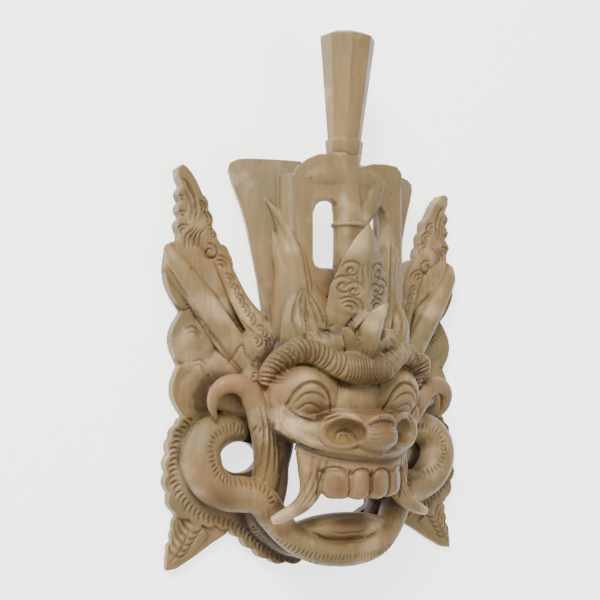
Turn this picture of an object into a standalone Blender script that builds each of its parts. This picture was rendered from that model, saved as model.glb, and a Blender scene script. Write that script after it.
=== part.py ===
"""Carved wooden demon mask with a tall hilt-shaped finial, lying on its flat back.

Metres, +Z up. X runs across the mask, Y runs from the chin to the finial and Z is the
way the face looks. The mask is one carved block, so it is one closed solid.
The carving is drawn on a square grid: x counts squares from the middle line, y counts
them up from the eye line and z counts them up from the flat back.
"""
import math

import bmesh
import bpy
from mathutils import Matrix, Vector

# Driving sizes, in metres
MASK_HEIGHT = 0.490
PLATE_THICKNESS = 0.014
CROWN_WALL_THICKNESS = 0.013
FACE_WALL_THICKNESS = 0.022
FINIAL_TOP_RADIUS = 0.026
FINIAL_NECK_RADIUS = 0.0155
COLLAR_RADIUS = 0.0182
TUSK_RADIUS = 0.0100
EAR_HOLE_WIDTH = 0.039
EAR_HOLE_HEIGHT = 0.028

# The drawing grid, and the driving sizes in its squares
GRID_ROWS = 490
U = MASK_HEIGHT / GRID_ROWS
PLATE = PLATE_THICKNESS / U
CROWN_WALL = CROWN_WALL_THICKNESS / U
CROWN_FRONT = 69
FACE_WALL = FACE_WALL_THICKNESS / U
FINIAL_TOP = FINIAL_TOP_RADIUS / U
FINIAL_NECK = FINIAL_NECK_RADIUS / U
COLLAR = COLLAR_RADIUS / U
TUSK = TUSK_RADIUS / U
EAR_CENTRE = (84, -51.5)
EAR_HALF = (EAR_HOLE_WIDTH / 2 / U, EAR_HOLE_HEIGHT / 2 / U)

# Fineness of the surface
VOXEL = 2.0 * U
SMOOTH_ROUNDS = 1
TRIANGLES = 8300
SPHERE_SIDES = 28
SPHERE_RINGS = 14
CUTTER_SIDES = 28
CUTTER_RINGS = 14
LOBE_STEPS = 5

PART_NAME = "carved_mask"
WOOD_COLOUR = (0.42, 0.29, 0.18, 1.0)
WOOD_ROUGHNESS = 0.6

# The strands of the brow: x, y, z of the middle and the half width
BROW = [(81, 14, 52, 6), (78, 25, 56, 8), (70, 35, 62, 10), (58, 42, 70, 10.5), (44, 41, 76, 10.5),
        (32, 34, 82, 10.5), (21, 29, 87, 12), (8, 27, 89, 13.5), (-6, 27, 89, 13.5)]


def clear_scene():
    for item in list(bpy.data.objects):
        bpy.data.objects.remove(item, do_unlink=True)


def new_collection(name):
    group = bpy.data.collections.new(name)
    bpy.context.scene.collection.children.link(group)
    return group


def grid(place):
    """A place on the drawing grid as a vector in metres."""
    return Vector(place) * U


def lobes(notches, bulge):
    """An edge of round lobes through the notch points, each bulging to its right."""
    edge = []
    for start, end in zip(notches, notches[1:]):
        start, end = Vector(start), Vector(end)
        along = end - start
        outward = Vector((along.y, -along.x)) * bulge
        for step in range(LOBE_STEPS):
            share = step / LOBE_STEPS
            edge.append(tuple(start + along * share + outward * math.sin(math.pi * share)))
    edge.append(tuple(notches[-1]))
    return edge


def ellipsoid(store, centre, half, turn=(0, 0, 0)):
    """A round mass from its centre, its three half sizes and its turn in degrees."""
    bpy.ops.mesh.primitive_uv_sphere_add(
        segments=SPHERE_SIDES, ring_count=SPHERE_RINGS, location=grid(centre),
        rotation=[math.radians(angle) for angle in turn])
    shape = bpy.context.object
    shape.scale = grid(half)
    store.append(shape)


def band(store, path, radii, flatness=1.0, closed=False, keeled=False):
    """A strand along a path, squashed towards the back by flatness, round or with a keel."""
    curve = bpy.data.curves.new("band", "CURVE")
    curve.dimensions = "3D"
    curve.bevel_depth = 1.0
    curve.bevel_resolution = 0 if keeled else 4
    curve.resolution_u = 8
    curve.use_fill_caps = True
    spline = curve.splines.new("BEZIER")
    spline.bezier_points.add(len(path) - 1)
    spline.use_cyclic_u = closed
    for point, place, radius in zip(spline.bezier_points, path, radii):
        point.co = grid((place[0], place[1], place[2] / flatness))
        point.radius = radius * U
        point.handle_left_type = "AUTO"
        point.handle_right_type = "AUTO"
    shape = bpy.data.objects.new("band", curve)
    bpy.context.scene.collection.objects.link(shape)
    shape.scale.z = flatness
    store.append(shape)


def slab(store, outline, low, high, openings=(), tilt=0.0, hinge=(0, 0, 0)):
    """A flat plate between two heights, with openings, tilted about an upright hinge."""
    curve = bpy.data.curves.new("slab", "CURVE")
    curve.dimensions = "2D"
    curve.fill_mode = "BOTH"
    curve.extrude = (high - low) / 2 * U
    for ring in (outline, *openings):
        spline = curve.splines.new("POLY")
        spline.points.add(len(ring) - 1)
        spline.use_cyclic_u = True
        for point, place in zip(spline.points, ring):
            point.co = (place[0] * U, place[1] * U, 0, 1)
    shape = bpy.data.objects.new("slab", curve)
    bpy.context.scene.collection.objects.link(shape)
    middle = Matrix.Translation(grid((0, 0, (low + high) / 2)))
    pivot = Matrix.Translation(grid(hinge))
    swing = Matrix.Rotation(math.radians(tilt), 4, "Y")
    shape.matrix_world = pivot @ swing @ pivot.inverted() @ middle
    store.append(shape)


def ring_of(centre, half, steps):
    """Points round an ellipse in the drawing plane."""
    points = []
    for step in range(steps):
        angle = math.tau * step / steps
        points.append((centre[0] + half[0] * math.cos(angle), centre[1] + half[1] * math.sin(angle)))
    return points


def add_wing(side):
    """The scalloped plate, the blade that lies on it and the leaf at its inner edge."""
    plate = lobes([(138, -15), (143, 30), (141, 78)], 0.20) + lobes([(141, 78), (154, 138)], 0.15)
    plate += [(148, 141), (122, 124), (98, 100), (76, 76), (40, 60), (40, -18), (100, -24)]
    slab(side, plate, 0, PLATE - 2)
    for row in (8, 54):
        ellipsoid(side, (122, row, PLATE - 8), (27, 23, 10))
    ellipsoid(side, (140, 104, PLATE - 8), (14, 32, 9), turn=(0, 0, -14))
    blade = [(156, 135, 9), (149, 123, 14), (129, 94, 20), (108, 64, 24), (90, 40, 30), (76, 22, 38)]
    band(side, blade, [4, 9, 10.5, 11, 11, 10], flatness=0.7)
    inner_edge = lobes([(40, 56), (68, 66), (81, 84), (88, 101), (94, 118), (98, 132)], -0.09)
    curl = [(100, 137), (104, 140), (109, 138)]
    leaf_right = lobes([(111, 139), (115, 155), (119, 170), (125, 184)], -0.12)
    leaf_tip = [(131, 196), (136, 203), (141, 208), (145, 209), (149, 205), (148, 198)]
    leaf_left = lobes([(145, 190), (144, 164), (146, 147)], -0.2)
    outline = inner_edge + curl + leaf_right + leaf_tip + leaf_left + [(146, 132), (100, 60)]
    slab(side, outline, 2, PLATE + 3)
    stem = [(141, 201, 13), (135, 188, 14), (131, 168, 15), (127, 150, 16), (110, 130, 17), (101, 112, 19),
            (90, 88, 23), (76, 66, 30), (64, 52, 38)]
    band(side, stem, [3, 6, 10, 12, 8, 8, 9, 12, 13], flatness=0.5)


def add_ear(side):
    """The flange with its round ear hole, its scalloped rim, the corner leaf and the shelf."""
    notches = [(18, -145), (37, -147), (54, -143), (68, -134), (81, -123), (93, -113), (107, -110),
               (120, -109), (133, -103), (146, -97), (151, -81), (153, -63), (152, -47), (150, -33),
               (144, -22), (138, -15)]
    inner = [(56, -14), (56, -70), (54, -100), (18, -120)]
    slab(side, lobes(notches, 0.20) + inner, 0, 12, openings=[ring_of(EAR_CENTRE, EAR_HALF, 40)])
    leaf = [(133, -98), (88, -108), (95, -119), (110, -127), (126, -137), (143, -146), (152, -147)]
    leaf += lobes([(151, -132), (147, -122), (146, -112), (143, -101)], 0.16)
    slab(side, leaf, 0, 8)
    band(side, [(147, -140, 7), (135, -127, 8), (120, -112, 8)], [5, 10, 11], flatness=0.4)
    shelf = [(118, 4, 20), (98, 0, 24), (84, -4, 26), (66, -14, 28)]
    band(side, shelf, [10, 13, 14, 14], flatness=0.8)


def add_hook(side):
    """The strand that comes down behind the cheek, and arches over the ear to end in a hook."""
    path = [(119, -17, 36), (124, -4, 40), (121, 8, 44), (109, 14, 47), (96, 10, 48),
            (86, -3, 46), (76, -22, 40), (68, -46, 34), (67, -70, 29), (69, -84, 25)]
    band(side, path, [1.5, 5, 7, 8.5, 9.5, 11, 12.5, 13, 13, 13], flatness=0.9)
    cheek = [(60, 4, 42), (57, -22, 38), (55, -42, 32), (54, -60, 26), (54, -76, 24), (58, -92, 22)]
    band(side, cheek, [18, 15, 13, 11, 11, 12])


def add_jaw(side, middle):
    """The rolled band that loops round the ear hole and becomes the ring of the lower jaw."""
    loop = [(84, -25, 16, 12), (99, -25, 18, 14), (114, -29, 20, 16), (124, -40, 21, 17), (126, -54, 22, 18),
            (119, -70, 22, 17.5), (104, -81, 23, 16), (89, -83, 27, 16), (76, -86, 33, 15), (65, -101, 38, 14),
            (50, -120, 46, 12.5), (29, -132, 54, 12), (0, -136, 58, 11.5), (-9, -136, 58, 11.5)]
    band(side, [place[:3] for place in loop], [place[3] for place in loop], flatness=0.95)
    back_ring = [(70, -84, 14), (66, -102, 14), (50, -121, 16), (28, -131, 20), (-4, -135, 22)]
    band(side, back_ring, [16, 16, 13, 12, 12])
    ellipsoid(middle, (0, -122, 34), (56, 18, 22))
    ellipsoid(middle, (0, -115, 46), (44, 12, 20))
    tongue = [(37, -110, 42), (22, -109, 50), (0, -109, 54), (-6, -109, 54)]
    band(side, tongue, [5, 8, 9, 9], flatness=0.8)


def add_face(side, middle):
    """The head, the eyes, the cheeks, the snout and the brow."""
    ellipsoid(middle, (0, 28, 6), (116, 62, 38))
    ellipsoid(middle, (0, 20, 26), (80, 68, 50))
    ellipsoid(middle, (0, 68, 20), (66, 56, 50))
    ellipsoid(middle, (0, 48, 50), (56, 22, 34))
    ellipsoid(side, (43, 7, 53), (36, 29, 31), turn=(0, 12, 0))
    ellipsoid(side, (58, -10, 44), (17, 24, 30))
    ellipsoid(middle, (0, 2, 58), (32, 32, 27))
    ellipsoid(middle, (0, -26, 60), (66, 20, 44))
    fill = [(68, -18, 56), (60, -23, 65), (48, -28, 74), (34, -31, 82), (16, -33, 90), (0, -34, 94)]
    band(side, fill, [9, 10, 11, 12, 13, 14])
    cheek_edge = [(66, -27, 66), (70, -17, 66), (69, -8, 67), (62, -12, 71), (54, -16, 75), (42, -18, 81),
                  (32, -16, 90)]
    band(side, cheek_edge, [3, 3, 3, 3, 3.5, 3.5, 4])
    lip = [(67, -22, 66), (62, -29, 74), (54, -35, 82), (44, -39, 90), (24, -43, 99), (0, -46, 105),
           (-6, -46, 105)]
    band(side, lip, [3, 3.5, 4, 4, 4, 4, 4])
    ellipsoid(middle, (0, -44, 62), (48, 14, 32))
    throat = [(55, -38, 68), (47, -44, 78), (36, -49, 86), (18, -51, 95), (0, -53, 98), (-6, -53, 98)]
    band(side, throat, [5, 5.5, 6, 6, 6, 6])
    gum = [(52, -46, 66), (46, -51, 73), (38, -55, 80), (20, -58, 91), (0, -59, 94), (-6, -59, 94)]
    band(side, gum, [6, 7, 7, 7, 7, 7])
    ellipsoid(middle, (0, -30, 98), (24, 16, 25))
    band(side, [(27, -15, 106), (18, -15, 112), (8, -14, 117), (0, -17, 119), (-4, -18, 119)], [3, 3, 3, 2.5, 2])
    add_nostril(side)
    band(side, [place[:3] for place in BROW], [place[3] for place in BROW])
    ellipsoid(middle, (79, 33, 60), (11, 11, 12))


def add_nostril(side):
    """A round rim turned outwards on the side of the snout."""
    centre = Vector((31, -27, 101))
    across = Vector((0.93, 0, -0.37))
    rim = []
    for step in range(12):
        angle = math.tau * step / 12
        rim.append(centre + across * 18 * math.cos(angle) + Vector((0, 12.5, 0)) * math.sin(angle))
    band(side, rim, [2.8] * 12, closed=True)
    ellipsoid(side, (31, -27, 91), (20.5, 15, 12), turn=(0, 22, 0))


def tooth(left, right, top, bottom, inset):
    """The front of a broad tooth with round lower corners, drawn in by an inset."""
    middle = (left + right) / 2
    half = (right - left) / 2 - inset
    corner = 8
    edge = [(middle + half, top), (middle - half, top)]
    for hand, start in ((-1, 180), (1, 270)):
        for step in range(6):
            angle = math.radians(start + step * 18)
            edge.append((middle + hand * (half - corner) + corner * math.cos(angle),
                         bottom + inset + corner + corner * math.sin(angle)))
    return edge


def add_teeth(side):
    """Two broad teeth and a curved tusk on each side."""
    for left, right, bottom, low, tilt in ((0.3, 20.5, -85.5, 89, 8), (20.5, 46, -84.5, 88, 43)):
        for inset, rise in ((0, 8), (1.2, 11), (3, 13), (5.5, 14.2)):
            slab(side, tooth(left, right, -56, bottom, inset), low, low + rise,
                 tilt=tilt, hinge=(left, 0, low + 12))
    path = [(44, -44, 67), (43.5, -60, 70), (44, -74, 71), (50, -86, 71), (60.5, -94, 70), (72, -99.5, 68),
            (80, -102.5, 67)]
    band(side, path, [TUSK * share for share in (1.2, 1.2, 1.07, 0.8, 0.64, 0.52, 0.36)])


def add_forehead(side, middle):
    """The flames and curling leaves between the brow and the crown."""
    band(middle, [(0, 50, 72), (0, 75, 76), (0, 98, 80), (0, 120, 86), (0, 140, 92), (0, 156, 98)],
         [30, 33, 31, 23, 13, 1], flatness=0.55, keeled=True)
    band(middle, [(0, 46, 84), (0, 60, 96), (2, 72, 106), (5, 83, 119)], [20, 16, 10, 1], keeled=True)
    ellipsoid(side, (72, 46, 28), (20, 24, 18))
    ellipsoid(side, (82, 14, 36), (14, 18, 14))
    band(side, [(8, 50, 86), (17, 56, 92), (28, 62, 96)], [14, 9, 1], keeled=True)
    band(side, [(50, 44, 56), (54, 66, 60), (53, 86, 58), (47, 108, 55)], [18, 15, 9, 1], flatness=0.8,
         keeled=True)
    band(side, [(22, 54, 66), (32, 76, 62), (40, 100, 56)], [14, 16, 12], flatness=0.6)


def add_crown(side, middle):
    """The high crown: a pierced front wall with round lobes, and a plate at each side."""
    left_crest = [(51, 165), (55, 188), (56, 201), (51, 210), (42, 217), (31, 222), (18, 223), (0, 217)]
    right_crest = [(58, 165), (62, 190), (67, 206), (67, 215), (60, 221), (44, 221), (28, 219), (12, 213),
                   (0, 210)]
    for hand, reach, post, crest in ((-1, 37, 49, left_crest), (1, 47, 57, right_crest)):
        outline = [(0, 95), (post, 90), (post, 130)] + crest + [(0, 182)]
        arch = [(14, 178), (20, 181), (reach - 9, 180), (reach - 3, 175), (reach, 168), (reach, 125),
                (reach - 2, 120), (reach - 8, 117), (0, 117)]
        half = [(hand * x, y) for x, y in outline + arch]
        slab(middle, half, CROWN_FRONT - CROWN_WALL, CROWN_FRONT, tilt=12 * hand, hinge=(0, 0, CROWN_FRONT))
        rear = [(hand * (post + 2), y, 37) for y in (204, 165, 130, 92)]
        band(middle, rear, [9, 9, 9, 11])
    band(side, [(-4, 201, 56), (20, 203, 54), (38, 199, 50), (50, 192, 47)], [15, 15, 13, 10], flatness=0.9)
    column = [(0, 208, 50), (0, 184, 58), (-1, 162, 63), (-1, 130, 63), (0, 100, 62)]
    band(middle, column, [22, 14.5, 14, 14, 17], flatness=0.9)
    band(middle, [(6, 150, 58), (17, 170, 57), (28, 188, 54), (32, 206, 52)], [7, 11, 13, 13])
    ring = [(x, 158, 64 + (z - 158) * 0.9) for x, z in ring_of((-1, 158), (14.5, 14.5), 14)]
    band(middle, ring, [2] * 14, closed=True)
    plate = [(30, 60), (66, 56), (70, 82), (74, 109), (79, 133), (84, 158), (90, 178), (97, 196), (101, 209),
             (100, 214), (93, 218), (83, 219), (60, 219), (34, 218), (36, 190), (50, 186), (57, 178), (57, 128),
             (46, 112)]
    slab(side, plate, 22 - PLATE, 22, tilt=20, hinge=(98, 0, 20))
    edge = [(69, 181, 33, 1), (62, 169, 39, 3), (55, 155, 48, 4), (52, 142, 53, 5), (49, 130, 57, 6),
            (47, 114, 58, 7), (45, 99, 59, 8), (43, 78, 58, 9), (44, 50, 50, 9)]
    for row in range(4):
        strand = [(x + 0.8 * radius * row, y, z - 0.7 * radius * row) for x, y, z, radius in edge]
        band(side, strand, [radius + row for x, y, z, radius in edge])


def add_finial(middle):
    """The eight-sided hilt on a collar, leaning a little forward."""
    def drum(low, high, low_radius, high_radius, low_z, high_z):
        bpy.ops.mesh.primitive_cone_add(
            vertices=8, radius1=low_radius * U, radius2=high_radius * U, depth=(high - low) * U)
        shape = bpy.context.object
        lean = math.atan2(high_z - low_z, high - low)
        middle_place = grid((0, (low + high) / 2, (low_z + high_z) / 2))
        turn = Matrix.Rotation(lean - math.pi / 2, 4, "X") @ Matrix.Rotation(math.pi / 8, 4, "Z")
        shape.matrix_world = Matrix.Translation(middle_place) @ turn
        middle.append(shape)

    drum(236, 334, FINIAL_NECK, FINIAL_TOP, 56, 63)
    drum(334, 338, FINIAL_TOP, FINIAL_TOP * 0.68, 63, 63.5)
    drum(219, 238, COLLAR * 0.88, COLLAR, 55, 56)
    drum(196, 223, COLLAR * 1.1, COLLAR * 0.9, 55, 55)


def as_bmesh(shapes, mirrored):
    """All shapes in one bmesh, with a copy across the middle line if mirrored."""
    bpy.context.view_layer.update()
    depsgraph = bpy.context.evaluated_depsgraph_get()
    joined = bmesh.new()
    for shape in shapes:
        mesh = bpy.data.meshes.new_from_object(shape.evaluated_get(depsgraph))
        mesh.transform(shape.matrix_world)
        joined.from_mesh(mesh)
        bpy.data.meshes.remove(mesh)
    for shape in shapes:
        bpy.data.objects.remove(shape, do_unlink=True)
    bmesh.ops.remove_doubles(joined, verts=joined.verts, dist=U / 1000)
    if mirrored:
        copy = bmesh.ops.duplicate(joined, geom=joined.verts[:] + joined.edges[:] + joined.faces[:])
        twins = [item for item in copy["geom"] if isinstance(item, bmesh.types.BMVert)]
        faces = [item for item in copy["geom"] if isinstance(item, bmesh.types.BMFace)]
        bmesh.ops.scale(joined, verts=twins, vec=(-1, 1, 1))
        bmesh.ops.reverse_faces(joined, faces=faces)
    return joined


def bake(item):
    """Turns the modifiers of an object into its mesh."""
    item.data = evaluated_mesh(item)
    item.modifiers.clear()


def evaluated_mesh(item):
    bpy.context.view_layer.update()
    depsgraph = bpy.context.evaluated_depsgraph_get()
    return bpy.data.meshes.new_from_object(item.evaluated_get(depsgraph))


def round_cutter(centre, half, name, turn=0):
    """An egg-shaped cutter, turned about the upright line by degrees."""
    bpy.ops.mesh.primitive_uv_sphere_add(
        segments=CUTTER_SIDES, ring_count=CUTTER_RINGS, location=grid(centre),
        rotation=(0, math.radians(turn), 0))
    cutter = bpy.context.object
    cutter.scale = grid(half)
    cutter.name = name
    return cutter


def carve_back(mask, group):
    """Cuts the back flat, hollows the face behind its wall, and opens mouth and nostrils."""
    bpy.ops.mesh.primitive_cube_add(size=1, location=grid((0, 90, -50)))
    below = bpy.context.object
    below.scale = grid((600, 800, 100))
    below.name = "below_back"
    cutters = [round_cutter((0, -4, -4), (80 - FACE_WALL, 94 - FACE_WALL, 84 - FACE_WALL), "hollow_back"),
               round_cutter((1, -76, 12), (48, 26, 62), "mouth_gap")]
    for hand in (-1, 1):
        cutters.append(round_cutter((hand * 33, -27, 108), (17, 11, 14), "nostril_cup", turn=hand * 22))
    for cutter in cutters + [below]:
        for owner in list(cutter.users_collection):
            owner.objects.unlink(cutter)
        group.objects.link(cutter)
        cutter.hide_render = True
        cutter.display_type = "WIRE"
        cut = mask.modifiers.new(cutter.name, "BOOLEAN")
        cut.operation = "DIFFERENCE"
        cut.solver = "EXACT"
        cut.object = cutter
        cutter.parent = mask


def centre_on_origin(mask):
    """Puts the origin under the middle of the mask's box; the cutters ride along."""
    corners = evaluated_mesh(mask)
    rows = [vertex.co.y for vertex in corners.vertices]
    mask.location.y = -(min(rows) + max(rows)) / 2
    bpy.data.meshes.remove(corners)


def wood_material():
    wood = bpy.data.materials.new("carved_wood")
    wood.use_nodes = True
    shader = wood.node_tree.nodes["Principled BSDF"]
    shader.inputs["Base Color"].default_value = WOOD_COLOUR
    shader.inputs["Roughness"].default_value = WOOD_ROUGHNESS
    shader.inputs["Metallic"].default_value = 0.0
    return wood


def fuse(item):
    """Joins all overlapping masses into one skin and thins it to the triangle budget."""
    skin = item.modifiers.new("one skin", "REMESH")
    skin.mode = "VOXEL"
    skin.voxel_size = VOXEL
    smooth = item.modifiers.new("smooth", "SMOOTH")
    smooth.iterations = int(SMOOTH_ROUNDS)
    bake(item)
    triangle_count = sum(len(face.vertices) - 2 for face in item.data.polygons)
    thin = item.modifiers.new("thin", "DECIMATE")
    thin.ratio = TRIANGLES / triangle_count
    thin.use_collapse_triangulate = True
    bake(item)


def rough_block():
    """All masses of the mask in one mesh."""
    side, middle = [], []
    add_wing(side)
    add_ear(side)
    add_hook(side)
    add_jaw(side, middle)
    add_face(side, middle)
    add_teeth(side)
    add_forehead(side, middle)
    add_crown(side, middle)
    add_finial(middle)
    halves = as_bmesh(side, mirrored=True)
    centre = as_bmesh(middle, mirrored=False)
    mesh = bpy.data.meshes.new(PART_NAME)
    centre.to_mesh(mesh)
    halves.from_mesh(mesh)
    halves.to_mesh(mesh)
    halves.free()
    centre.free()
    return mesh


def build_mask():
    clear_scene()
    parts = new_collection(PART_NAME + "_parts")
    cutters = new_collection("cutters")
    mask = bpy.data.objects.new(PART_NAME, rough_block())
    parts.objects.link(mask)
    fuse(mask)
    carve_back(mask, cutters)
    centre_on_origin(mask)
    mask.data.materials.append(wood_material())
    return mask


build_mask()
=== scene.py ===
"""A wooden demon mask lying on its flat back: the finely carved block, its wood and a studio.

The carving is drawn on a grid of about a millimetre: x counts squares out from the middle
line, y counts them up from the eye line and z counts them up from the flat back. What is
drawn on one side is repeated on the other.
"""
import math

import bmesh
import bpy
import numpy as np
from mathutils import Matrix, Vector


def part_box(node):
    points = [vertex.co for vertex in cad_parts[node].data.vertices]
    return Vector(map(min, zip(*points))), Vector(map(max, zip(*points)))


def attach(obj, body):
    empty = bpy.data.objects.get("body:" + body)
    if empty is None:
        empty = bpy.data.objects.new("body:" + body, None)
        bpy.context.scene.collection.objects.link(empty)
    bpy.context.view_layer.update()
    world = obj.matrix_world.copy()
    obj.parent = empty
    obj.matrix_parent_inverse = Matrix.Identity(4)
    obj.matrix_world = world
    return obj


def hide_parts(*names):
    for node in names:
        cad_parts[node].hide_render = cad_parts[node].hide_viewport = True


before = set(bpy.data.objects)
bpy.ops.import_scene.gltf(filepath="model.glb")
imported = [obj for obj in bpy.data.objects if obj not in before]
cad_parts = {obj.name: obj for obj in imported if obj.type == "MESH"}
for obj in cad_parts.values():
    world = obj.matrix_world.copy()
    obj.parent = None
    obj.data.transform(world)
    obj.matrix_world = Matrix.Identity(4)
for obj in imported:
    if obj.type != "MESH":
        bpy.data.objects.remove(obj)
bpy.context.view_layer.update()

NODE = "carved_mask"
GRID_ROWS = 490
node_low, node_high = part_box(NODE)
U = (node_high[1] - node_low[1]) / GRID_ROWS

# Sizes of the carving, in squares of the grid
PLATE = 14
CROWN_WALL = 13
CROWN_FRONT = 69
CROWN_TILT = 12
SIDE_TILT = 20
FACE_WALL = 22
HEAD_HALF = (80, 94, 84)
FINIAL_TOP = 26
FINIAL_NECK = 15.5
FINIAL_SIDES = 8
COLLAR = 18.2
TUSK = 10
TUSK_TAPER = (1.2, 1.2, 1.07, 0.8, 0.64, 0.52, 0.36)
TOOTH_TOP = -57
TOOTH_CORNER = 9.4
TOOTH_ROOT = 4
TOOTH_HINGE = 12
EAR_CENTRE = (84, -51.5)
EAR_HALF = (19.5, 14)

# The block that cuts the back flat: its middle and its size
BELOW_CENTRE = (0, 90, -50)
BELOW_SIZE = (600, 800, 100)

# The rounding of a tooth: how far each layer is drawn in, and how far it stands out
TOOTH_LAYERS = [(0, 7), (0.6, 9), (1.4, 11), (2.4, 12.6), (3.6, 13.9), (5.2, 14.8), (7, 15.4)]

# The tall fold beside the crown: strands, their spread, and how they swell from their start
FOLD_STRANDS = 3
FOLD_SPREAD = 0.8
FOLD_START = 0.1
FOLD_GROWTH = 0.32

# Fineness of the surface
VOXEL = 0.85
WELD = U / 1000
SMOOTH_ROUNDS = 2
TRIANGLES = 190000
SPHERE_SIDES = 56
SPHERE_RINGS = 28
BAND_STEPS = 14
BAND_ROUNDNESS = 6
LOBE_STEPS = 10
CORNER_STEPS = 6
HOLE_STEPS = 40
RIM_STEPS = 12
RING_STEPS = 14

# The relief: how deep each small square of the drawing is cut
RELIEF_CELL = 0.5
RELIEF_START = -4
RELIEF_WIDTH = 172
RELIEF_LOW = -160
RELIEF_HIGH = 345
RELIEF_COLUMNS = np.arange(RELIEF_START, RELIEF_WIDTH, RELIEF_CELL)
RELIEF_ROWS = np.arange(RELIEF_LOW, RELIEF_HIGH, RELIEF_CELL)
STROKE_STEP = 0.4

# How a row of short cuts wavers: its rhythm, and the change of heading and of length
SWAY_RHYTHM = 2.3
SWAY_TURN = 9
SWAY_LENGTH = 0.15

# Where the relief is cut: the slope that starts to face the front, and the depth of the front layer
FACING_START = 0.1
FACING_RANGE = 0.3
FRONT_LAYER = 5

# How recesses are painted darker, partly as painted shade and partly as stain: window in squares of the
# height map, depth of the full darkening, and its share
HEIGHT_CELL = 1.5
NEAR_WINDOW, NEAR_DEPTH, NEAR_SHARE = 2, 6, 0.5
FAR_WINDOW, FAR_DEPTH, FAR_SHARE = 7, 24, 0.7
UNDER_WINDOW, UNDER_START, UNDER_DEPTH, UNDER_SHARE = 4, 6, 40, 0.45
CUT_DEPTH, CUT_SHARE = 2.6, 0.8

# The strands of the brow: x, y, z of the middle and the half width
BROW = [(81, 14, 52, 6), (78, 25, 56, 8), (70, 35, 62, 10), (58, 42, 70, 10.5), (44, 41, 76, 10.5),
        (32, 34, 82, 10.5), (21, 29, 87, 12), (8, 27, 89, 13.5), (-6, 27, 89, 13.5)]

# Where the wood is paler and where it is a darker warm brown: x, y, z and reach. The first warm spot, on the
# nose bulb, is painted shadow from the ridge of the nostrils.
PALE_SPOTS = [(-78, -102, 67, 13), (-66, -97, 69, 9), (78, -102, 67, 10), (3, 78, 116, 11), (-2, 66, 106, 8),
              (-64, -22, 68, 13), (-54, 20, 84, 9), (-12, 140, 92, 12)]
# The first warm spot paints the shadow that the ridge of the nostrils casts on the nose bulb
WARM_AND_SHADED_SPOTS = [(10, -30, 114, 31), (0, -113, 58, 22), (-70, 34, 66, 15), (-50, 43, 80, 12), (0, 30, 100, 18),
              (-42, -14, 82, 12), (-112, -88, 30, 16), (70, 36, 62, 16), (0, -72, 106, 12),
              (-32, -72, 96, 10), (30, -72, 96, 10)]
SPOT_CORE = 1.4

# Colours of the wood; DARK also paints the shade and stain in the recesses, and BROWN the painted shadow on
# the nose bulb
TAN = (0.212, 0.131, 0.050, 1)
OLIVE = (0.148, 0.106, 0.040, 1)
ROSE = (0.222, 0.124, 0.052, 1)
DARK = (0.036, 0.018, 0.007, 1)
PALE = (0.42, 0.30, 0.165, 1)
BROWN = (0.100, 0.050, 0.014, 1)

# Patches of another tone: fineness, shift, where they begin, where they are full, and the colour
PATCHES = [(14, (3, 1, 7), 0.38, 0.62, OLIVE), (9, (1, 8, 2), 0.52, 0.72, ROSE),
           (22, (5, 5, 5), 0.56, 0.75, PALE)]
SPOT_FULL = 1.25
GRAIN_SHARE = 0.24
# Share of DARK in the painted shade and stain of the recesses
SHADE_AND_STAIN_SHARE = 0.8
SPECULAR = 0.4
SMOOTHEST = 0.42
ROUGHEST = 0.62

# The floor and the light around, in metres
FLOOR_SIZE = 8
FLOOR_DROP = 0.0004
FLOOR_COLOUR = (0.92, 0.92, 0.91, 1)
FLOOR_ROUGHNESS = 0.9
FLOOR_GLOW = 2.0
WHITE = (1, 1, 1, 1)
AIR_LIGHT = 0.85

# The lamps: name, place in metres, power in watts, width and colour
LAMPS = [("key", (-1.1, 1.2, 1.4), 72, 0.7, (1, 0.98, 0.95)), ("fill", (0.9, -0.4, 1.6), 12, 1.4, (1, 1, 1))]
LAMP_TARGET = (0, 0, 0.05)

# The camera: place in metres, turn and pitch in degrees, lens and sensor in millimetres
CAMERA_ACROSS = -0.5
CAMERA_ABOVE = 0.87
CAMERA_TURN = 29.1
CAMERA_PITCH = 5.43
LENS = 63
SENSOR = 36


def grid(place):
    """A place on the drawing grid as a vector in metres."""
    return Vector(place) * U


def lobes(notches, bulge):
    """An edge of round lobes through the notch points, each bulging to its right."""
    edge = []
    for start, end in zip(notches, notches[1:]):
        start, end = Vector(start), Vector(end)
        along = end - start
        outward = Vector((along.y, -along.x)) * bulge
        for step in range(LOBE_STEPS):
            share = step / LOBE_STEPS
            edge.append(tuple(start + along * share + outward * math.sin(math.pi * share)))
    edge.append(tuple(notches[-1]))
    return edge


def ellipsoid(store, centre, half, turn=(0, 0, 0)):
    """A round mass from its centre, its three half sizes and its turn in degrees."""
    bpy.ops.mesh.primitive_uv_sphere_add(
        segments=SPHERE_SIDES, ring_count=SPHERE_RINGS, location=grid(centre),
        rotation=[math.radians(angle) for angle in turn])
    shape = bpy.context.object
    shape.scale = grid(half)
    store.append(shape)


def band(store, path, radii, flatness=1.0, closed=False, keeled=False):
    """A strand along a path, squashed towards the back by flatness, round or with a keel."""
    curve = bpy.data.curves.new("band", "CURVE")
    curve.dimensions = "3D"
    curve.bevel_depth = 1.0
    curve.bevel_resolution = 0 if keeled else BAND_ROUNDNESS
    curve.resolution_u = BAND_STEPS
    curve.use_fill_caps = True
    spline = curve.splines.new("BEZIER")
    spline.bezier_points.add(len(path) - 1)
    spline.use_cyclic_u = closed
    for point, place, radius in zip(spline.bezier_points, path, radii):
        point.co = grid((place[0], place[1], place[2] / flatness))
        point.radius = radius * U
        point.handle_left_type = "AUTO"
        point.handle_right_type = "AUTO"
    shape = bpy.data.objects.new("band", curve)
    bpy.context.scene.collection.objects.link(shape)
    shape.scale.z = flatness
    store.append(shape)


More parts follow.
